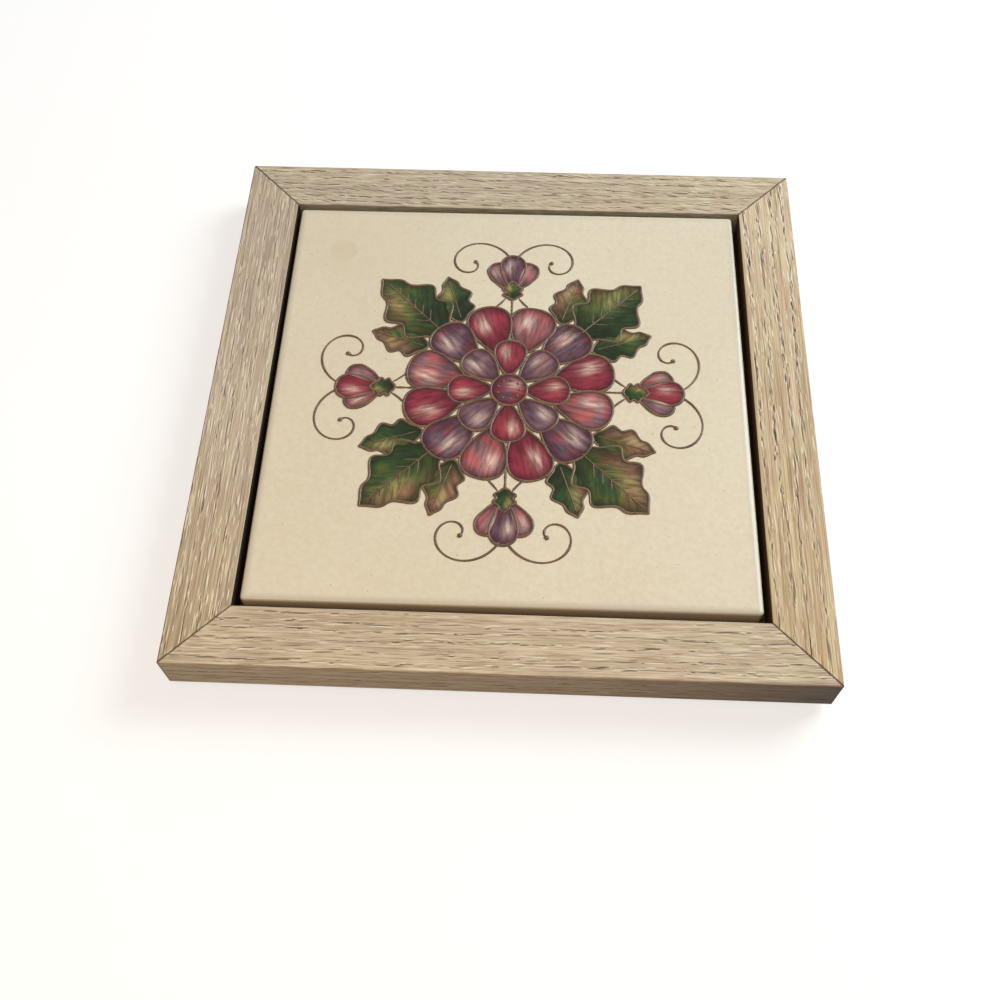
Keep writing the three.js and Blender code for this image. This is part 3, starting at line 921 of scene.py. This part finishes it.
for count, size, distance, lift, tones, first in PETAL_RINGS:
    for number in range(count):
        bearing = math.tau * (number + first) / count
        tone = tones[number % len(tones)]
        rings.append(lay("petals", petal_outline, size, distance, bearing, bearing, lift, tone))
rings.append(lay("petals", round_outline, CENTRE, 0, 0, 0, 0.16, 0.4))
for number, (line, lift) in enumerate(outlines):
    trail_uncovered(line, lift + LINE_RISE, [later for later, _ in outlines[number + 1:]], closed=True)
print({kind: len(made) for kind, made in pools.items()})

# %% [markdown]
# ## Veins, stems and scrolls
# Thinner lines finish the drawing: a midrib and side veins on the leaves, a stem to each bud, a pair of
# scrolls beside it, and dots on the centre. A scroll is a spiral that shrinks by the same share each turn, as
# a hand draws it.

# %% Trail the fine lines
# From and to distances in millimetres
STEM, RIB, SIDE_RIB = (30, 40), (30, 59), (-8, 8)
SCROLL_START, SCROLL_EYE = (33.5, math.radians(9)), (53, math.radians(15.5))
SCROLL_TURNS = 1.35
SCROLL_END = 1.5 * MM
VEIN_STEPS = (6, 9, 12, 15, 18)
VEIN_SPREAD = math.radians(44)
DOTS, DOT_RING = 9, 3.6


def scroll(start, eye, turns, way):
    """A line from a start point that winds round an eye."""
    arm = start - eye
    wind = np.linspace(0, 1, 90)
    reach = np.hypot(*arm) * (SCROLL_END / np.hypot(*arm)) ** wind
    bearing = math.atan2(arm[1], arm[0]) + way * turns * math.tau * wind
    return eye + np.stack([reach * np.cos(bearing), reach * np.sin(bearing)], axis=-1)


def ray(ends, bearing, count):
    """Even points along a bearing, from one distance to another."""
    return np.linspace(polar(ends[0], bearing), polar(ends[1], bearing), count)


every_outline = [line for line, _ in outlines]
for axis, corner in QUARTERS:
    trail_uncovered(ray(STEM, axis, 24), LINE_RISE, every_outline, width=0.9)
    for side in (-1, 1):
        start, eye = [polar(distance, axis + side * off) for distance, off in (SCROLL_START, SCROLL_EYE)]
        curl = scroll(start, eye, SCROLL_TURNS, side)
        trail_uncovered(curl, LINE_RISE, every_outline, width=0.85, drop=2.2)
    rib = ray(RIB, corner, 24)
    trail_uncovered(rib, 0.24 * MM, rings, width=0.6)
    for step in VEIN_STEPS:
        for side in (-1, 1):
            vein = polar(6.4 - 0.2 * step, corner + side * VEIN_SPREAD)
            trail(np.linspace(rib[step], rib[step] + vein, 6), np.linspace(0.27, 0.2, 6) * MM, 0.45)
    for side in (-1, 1):
        middle = polar(SIDE_LEAF_AT, corner + side * SIDE_LEAF_OFF)
        rib = middle + ray(SIDE_RIB, corner + side * SIDE_LEAF_TURN, 16)
        trail_uncovered(rib, 0.2 * MM, rings + big_leaves, width=0.5)
dot_shape = 1.2 * np.sqrt(1 - np.linspace(-0.97, 0.5, 7) ** 2)
for number in range(DOTS):
    dot = polar(DOT_RING, math.tau * number / DOTS)
    trail(np.linspace(dot * 0.87, dot * 1.13, 7), 0.3 * MM, dot_shape)
print("lines of slip:", len(slip.data.splines))

# %% Press the slip
pick(slip)
bpy.ops.object.convert(target="MESH")
slip = bpy.context.object
bpy.ops.object.mode_set(mode="EDIT")
bpy.ops.mesh.select_all(action="SELECT")
bpy.ops.transform.resize(value=(1, 1, SLIP_PRESS), center_override=(0, 0, TILE_TOP))
pick(slip)
settle(slip)
bpy.ops.object.shade_smooth()
print("slip faces:", len(slip.data.polygons))

# %% [markdown]
# ## Coloured glazes
# The colours are metal oxides in a clear glaze, brushed on: crimson, rose, plum and mauve on the petals,
# greens that break to brown on the leaves. The glaze runs off the raised line and gathers beside it, so each
# pool is darker at its rim, and a milky touch of the brush lies off its middle. The brush marks follow the
# petal, and the veins of a leaf.

# %% Brushed glaze
def brushed_glaze(name, tones, rim_colour, milk_colour, milk):
    """A glossy brushed-on glaze: dark where it gathers at the rim, with milky brush marks off its middle."""
    material, node = new_material(name)
    brush = node("UVMap", uv_map="brush")
    rim, reach, tone, gleam = [node("Attribute", output="Fac", attribute_name=layer)
                               for layer in ("rim", "reach", "tone", "gleam")]
    place = node("Mapping", {"Vector": brush, "Scale": (1 / (7 * MM), 1 / (1.3 * MM), 1)})
    stroke = node("TexNoise", (place, 1, 3), noise_dimensions="2D")
    wash = node("TexNoise", (brush, 1 / (6 * MM), 2), noise_dimensions="2D")
    drift = node("MapRange", (wash, 0.3, 0.7, -0.13, 0.13))
    shifted = node("Math", (tone, drift), operation="ADD")
    colour = node("ValToRGB", shifted, stops=tones)
    deepened = coat(node, colour, reach, (0.05, 0.6, 0.7, 0), rim_colour)
    rimmed = coat(node, deepened, rim, (0.66, 1, 0, 0.9), rim_colour)
    marks = node("MapRange", (stroke, 0.34, 0.66, 0.35, milk))
    milky = node("Math", (marks, gleam), operation="MULTIPLY")
    touched = node("Mix", (milky, rimmed, linear(milk_colour)), **BLEND)
    streaks = node("ValToRGB", stroke, stops=((0.3, "#c9c2bb"), (0.62, "#ffffff")))
    brushed = node("Mix", (1.0, touched, streaks), **MULTIPLY)
    gloss = node("MapRange", (stroke, 0.3, 0.7, 0.16, 0.28))
    bump = node("Bump", {"Height": stroke, "Strength": 0.3, "Distance": 0.06 * MM})
    surface = node("BsdfPrincipled", {"Base Color": brushed, "Roughness": gloss, "Normal": bump,
                                           "IOR": 1.5, "Specular IOR Level": 0.2})
    node("OutputMaterial", {"Surface": surface})
    return material


PETAL_TONES = ((0.0, "#8a2f40"), (0.3, "#a2424f"), (0.55, "#5f4a5a"), (0.78, "#8a6c74"), (1.0, "#bb6668"))
LEAF_TONES = ((0.0, "#22351c"), (0.3, "#38512a"), (0.5, "#5a6632"), (0.72, "#7b5b43"), (1.0, "#a27c6a"))
glazes = {"petals": brushed_glaze("brushed_petal_glaze", PETAL_TONES, "#451724", "#ecd3c8", 0.85),
          "leaves": brushed_glaze("brushed_leaf_glaze", LEAF_TONES, "#1f2912", "#b3ad74", 0.6)}
for kind, made in pools.items():
    pick(*made)
    bpy.ops.object.join()
    joined = bpy.context.object
    joined.name = "glaze_" + kind
    settle(joined)
    bpy.ops.object.shade_smooth()
    hand_over(joined, glazes[kind], "cream_glaze")
    print(joined.name, "faces:", len(joined.data.polygons))

# %% Slip clay
# Brown clay slip, fired under a thin glaze: a dull sheen, patchy in tone, with a sandy grain
slip_clay, node = new_material("trailed_brown_slip")
place = node("TexCoord", output="Object")
patch = node("TexNoise", (place, 1 / (3 * MM), 2))
sand = node("TexNoise", (place, 1 / (0.4 * MM), 2))
brown = node("ValToRGB", patch, stops=((0.3, "#4a3522"), (0.7, "#6f553a")))
dull = node("MapRange", (sand, 0.3, 0.7, 0.3, 0.5))
bump = node("Bump", {"Height": sand, "Strength": 0.4, "Distance": 0.05 * MM})
surface = node("BsdfPrincipled", {"Base Color": brown, "Roughness": dull, "Normal": bump, "IOR": 1.5})
node("OutputMaterial", {"Surface": surface})
hand_over(slip, slip_clay, "cream_glaze")
print("slip fired")

# %% [markdown]
# ## Glue in the mitres
# The mitres are glued, and a thin dark line of glue shows where the two cuts meet. A dark stripe on the wood
# would do from afar, but the gap is real here, so the glue is a thin plate in it that ends a little below the
# surface. It has the section of the rail: short under the rebate, and pulled inwards above it.

# %% Mitre glue
GLUE_THICK = 0.26 * MM
GLUE_DOWN = 0.35 * MM
GLUE_UP = 0.2 * MM
GLUE_IN = 0.4 * MM
glue_low, glue_high = RAIL_BOTTOM + GLUE_UP, RAIL_TOP - GLUE_DOWN
outer_end = -HALF_FRAME / DIAGONAL + GLUE_IN
land_end = outer_end + land / DIAGONAL - 1.5 * GLUE_IN
reach = RAIL_WIDTH - land - GLUE_UP
middle = (outer_end + land_end) / 2 * DIAGONAL
plate = start_piece("mitre_plate", bpy.ops.mesh.primitive_cube_add, size=1,
                    location=(middle, middle, (glue_low + glue_high) / 2), rotation=(0, 0, math.radians(45)),
                    scale=(land_end - outer_end, GLUE_THICK, glue_high - glue_low))
bpy.ops.object.mode_set(mode="EDIT")
cut_through((0, 0, ledge + GLUE_UP / 2), (0, 0, 1))
choose(plate, "FACE", lambda p: all_near((p[:, 0] + p[:, 1]) * DIAGONAL, land_end) and p[:, 2].min() > ledge)
pull(reach, reach, 0)
pick(plate)
# Aged wood glue: brown, cloudy and half glossy
glue, node = new_material("aged_wood_glue")
place = node("TexCoord", output="Object")
cloudy = node("TexNoise", (place, 1 / (2 * MM), 2))
amber = node("ValToRGB", cloudy, stops=((0.3, "#4a311c"), (0.7, "#6e4b2c")))
surface = node("BsdfPrincipled", {"Base Color": amber, "Roughness": 0.55, "IOR": 1.5})
node("OutputMaterial", {"Surface": surface})
# Each corner lies a quarter turn further round
CORNERS = ("front_left", "front_right", "back_right", "back_left")
for quarters, corner in enumerate(CORNERS):
    glued = copy_piece(plate, "mitre_glue_" + corner)
    turn_round(glued, quarters)
    hand_over(glued, glue, "adhesive")
bpy.data.objects.remove(plate)
print("mitres glued:", len(CORNERS))

# %% [markdown]
# ## Plated steel under the frame
# V-nails across each mitre, brads that hold the board, and the toothed hanger with its two nails are steel
# with a thin zinc plating: grey, a little cloudy, with fine scratches and a soft shine. The brads and the
# hanger keep their solids and only get this finish. The V-nails are driven flush with the wood, so they are
# modelled anew: a post at the fold, two arms pulled out of its sides, and their ends flared outwards, which
# draws the joint tight.

# %% Zinc plating
zinc, node = new_material("zinc_plated_steel")
place = node("TexCoord", output="Object")
cloud = node("TexNoise", (place, 1 / (4 * MM), 3))
scratches = (1 / (6 * MM), 1 / (0.25 * MM), 1 / (0.25 * MM))
drawn_out = node("Mapping", {"Vector": place, "Scale": scratches})
scratch = node("TexNoise", (drawn_out, 1, 3))
grey = node("ValToRGB", cloud, stops=((0.3, "#a4a6a8"), (0.55, "#bcbfc2"), (0.75, "#c9c6bb")))
worn = node("MapRange", (scratch, 0.3, 0.7, 0.28, 0.5))
bump = node("Bump", {"Height": scratch, "Strength": 0.3, "Distance": 0.03 * MM})
surface = node("BsdfPrincipled", {"Base Color": grey, "Metallic": 1.0, "Roughness": worn, "Normal": bump})
node("OutputMaterial", {"Surface": surface})


def refinish(material, *starts):
    """Give the solids whose names start so a better finish."""
    dressed = [solid for name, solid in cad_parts.items() if name.startswith(starts)]
    for solid in dressed:
        solid.material_slots[0].material = material
    print(material.name, "on", len(dressed), "solids")


refinish(zinc, "brad_", "sawtooth_hanger", "hanger_nail_")

# %% V-nails
NAIL_THICK = 0.6 * MM
NAIL_FLARE = 0.35 * MM
NAIL_TIP = 1.0 * MM
NAIL_PROUD = 0.06 * MM
NAIL_EASING = 0.05 * MM
nail_low, nail_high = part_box("v_nail_front_left_1")
second_low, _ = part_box("v_nail_front_left_2")
nail_bottom = RAIL_BOTTOM - NAIL_PROUD
fold = nail_low.x + NAIL_THICK / 2
inner = fold + NAIL_THICK / 2
arm = nail_high.x - nail_low.x - NAIL_THICK - NAIL_TIP
nail = start_piece("v_nail", bpy.ops.mesh.primitive_cube_add, size=1,
                   location=(fold, fold, (nail_bottom + nail_high.z) / 2),
                   scale=(NAIL_THICK, NAIL_THICK, nail_high.z - nail_bottom))
for axis in (0, 1):
    choose(nail, "FACE", lambda p: all_near(p[:, axis], inner) and p[:, 1 - axis].max() < inner + TINY)
    for out, aside in ((arm, 0), (NAIL_TIP, -NAIL_FLARE)):
        pull(*((out, aside, 0) if axis == 0 else (aside, out, 0)))
ease(nail, lambda p: all_near(p[:, 2], nail_bottom), NAIL_EASING, 2)
pick(nail)
for number, inward in ((1, 0.0), (2, second_low.x - nail_low.x)):
    for quarters, corner in enumerate(CORNERS):
        driven = copy_piece(nail, f"steel_v_nail_{corner}_{number}")
        driven.location = (inward, inward, 0)
        bpy.ops.object.transform_apply()
        turn_round(driven, quarters)
        hand_over(driven, zinc, "zinc_steel", f"v_nail_{corner}_{number}")
bpy.data.objects.remove(nail)
print("V-nails driven:", 2 * len(CORNERS))

# %% [markdown]
# ## Cork feet
# The feet are discs punched from agglomerated cork: granules of bark, one or two millimetres across, pressed
# with a binder. The punch rounds the edge a little and some granules tear out. So a disc is bevelled, given
# rings of points, and its skin is pushed in by a cell texture, and cells of about that size colour it.

# %% Cork
GRANULE = 1.5 * MM
BARK_TONES = ((0.0, "#8a5c34"), (0.35, "#b1824f"), (0.7, "#c79a66"), (1.0, "#a06d3e"))
cork, node = new_material("agglomerated_cork")
place = node("TexCoord", output="Object")
cells = {"Vector": place, "Scale": 1 / GRANULE}
granules = node("TexVoronoi", cells, output="Color")
seams = node("TexVoronoi", cells, feature="DISTANCE_TO_EDGE")
bark = node("ValToRGB", node("SeparateColor", granules), stops=BARK_TONES)
bound = coat(node, bark, seams, (0, 0.1, 0.75, 0), "#4f3018")
bump = node("Bump", {"Height": seams, "Strength": 0.5, "Distance": 0.2 * MM})
surface = node("BsdfPrincipled", {"Base Color": bound, "Roughness": 0.9, "Normal": bump, "IOR": 1.4,
                                       "Specular IOR Level": 0.25})
node("OutputMaterial", {"Surface": surface})
print("cork mixed")

# %% Punch the feet
RIM_CUTS, FACE_RINGS, RING_WIDTH = 5, 5, 0.9 * MM
PUNCH_EASING = 0.35 * MM
TEAR_SIZE, TEAR_DEPTH = 1.1 * MM, 0.16 * MM
foot_low, foot_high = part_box("foot_front_left")
foot_middle = (foot_low + foot_high) / 2
foot_radius = (foot_high.x - foot_low.x) / 2
foot_top = RAIL_BOTTOM


def on_rim(p):
    """True for an edge on the upper or lower rim of the disc."""
    outside = np.hypot(p[:, 0] - foot_middle.x, p[:, 1] - foot_middle.y) > foot_radius - TINY
    return np.all(outside) and (all_near(p[:, 2], foot_low.z) or all_near(p[:, 2], foot_top))


disc = start_piece("cork_disc", bpy.ops.mesh.primitive_cylinder_add, vertices=64, radius=foot_radius,
                   depth=foot_top - foot_low.z, location=(foot_middle.x, foot_middle.y, foot_top / 2))
divide(disc, upright, RIM_CUTS)
choose(disc, "FACE", lambda p: all_near(p[:, 2], foot_low.z))
for ring in range(FACE_RINGS):
    bpy.ops.mesh.inset(thickness=RING_WIDTH)
bpy.ops.mesh.poke()
ease(disc, on_rim, PUNCH_EASING, 3)
pick(disc)
torn = bpy.data.textures.new("torn_granules", "VORONOI")
torn.noise_scale = TEAR_SIZE
tear = disc.modifiers.new("tear", "DISPLACE")
tear.texture = torn
tear.texture_coords = "LOCAL"
tear.strength = TEAR_DEPTH
tear.mid_level = 1.0
bpy.ops.object.modifier_apply(modifier="tear")
bpy.ops.object.shade_smooth_by_angle(angle=SOFT_EDGE)
for corner in CORNERS:
    low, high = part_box("foot_" + corner)
    foot = copy_piece(disc, "cork_foot_" + corner)
    foot.location = (low + high) / 2 - foot_middle
    bpy.ops.object.transform_apply()
    hand_over(foot, cork, "cork", "foot_" + corner)
bpy.data.objects.remove(disc)
print("feet:", len(CORNERS))

# %% [markdown]
# ## Hardboard and adhesive
# The backing is hardboard: wood fibres cooked and pressed on a wire screen, which leaves a fine woven print
# on the back. The dabs that hold the tile are cured construction adhesive, pale and slightly rubbery. Both
# keep their solids.

# %% Hardboard
SCREEN_PITCH = 1.4 * MM
FIBRE_TONES = ((0.3, "#4a3222"), (0.5, "#5f432d"), (0.7, "#775a3e"))
hardboard, node = new_material("screen_backed_hardboard")
place = node("TexCoord", output="Object")
# A Wave texture repeats every 2 pi / 20 units, so this scale gives one ridge per screen wire.
screen = {"Vector": place, "Scale": math.tau / 20 / SCREEN_PITCH, "Distortion": 0.3}
wires = [node("TexWave", screen, output="Fac", bands_direction=direction) for direction in "XY"]
weave = node("Math", wires, operation="MULTIPLY")
fibres = node("TexNoise", {"Vector": place, "Scale": 1 / (1.2 * MM), "Detail": 4, "Distortion": 2})
blotch = node("TexNoise", (place, 1 / (25 * MM), 2))
brown = node("ValToRGB", fibres, stops=FIBRE_TONES)
age = node("ValToRGB", blotch, stops=((0.35, "#d8cfc4"), (0.65, "#ffffff")))
aged = node("Mix", (1.0, brown, age), **MULTIPLY)
printed = coat(node, aged, weave, (0, 0.6, 0.4, 0), "#33221a")
bump = node("Bump", {"Height": weave, "Strength": 0.7, "Distance": 0.15 * MM})
surface = node("BsdfPrincipled", {"Base Color": printed, "Roughness": 0.72, "Normal": bump, "IOR": 1.46})
node("OutputMaterial", {"Surface": surface})
refinish(hardboard, "backing_board")

# %% Adhesive
dab, node = new_material("cured_construction_adhesive")
place = node("TexCoord", output="Object")
lump = node("TexNoise", (place, 1 / (3 * MM), 3))
pale = node("ValToRGB", lump, stops=((0.3, "#cdc6b0"), (0.7, "#e0dac8")))
bump = node("Bump", {"Height": lump, "Strength": 0.5, "Distance": 0.3 * MM})
surface = node("BsdfPrincipled", {"Base Color": pale, "Roughness": 0.5, "Normal": bump, "IOR": 1.45})
node("OutputMaterial", {"Surface": surface})
refinish(dab, "adhesive_dab_")
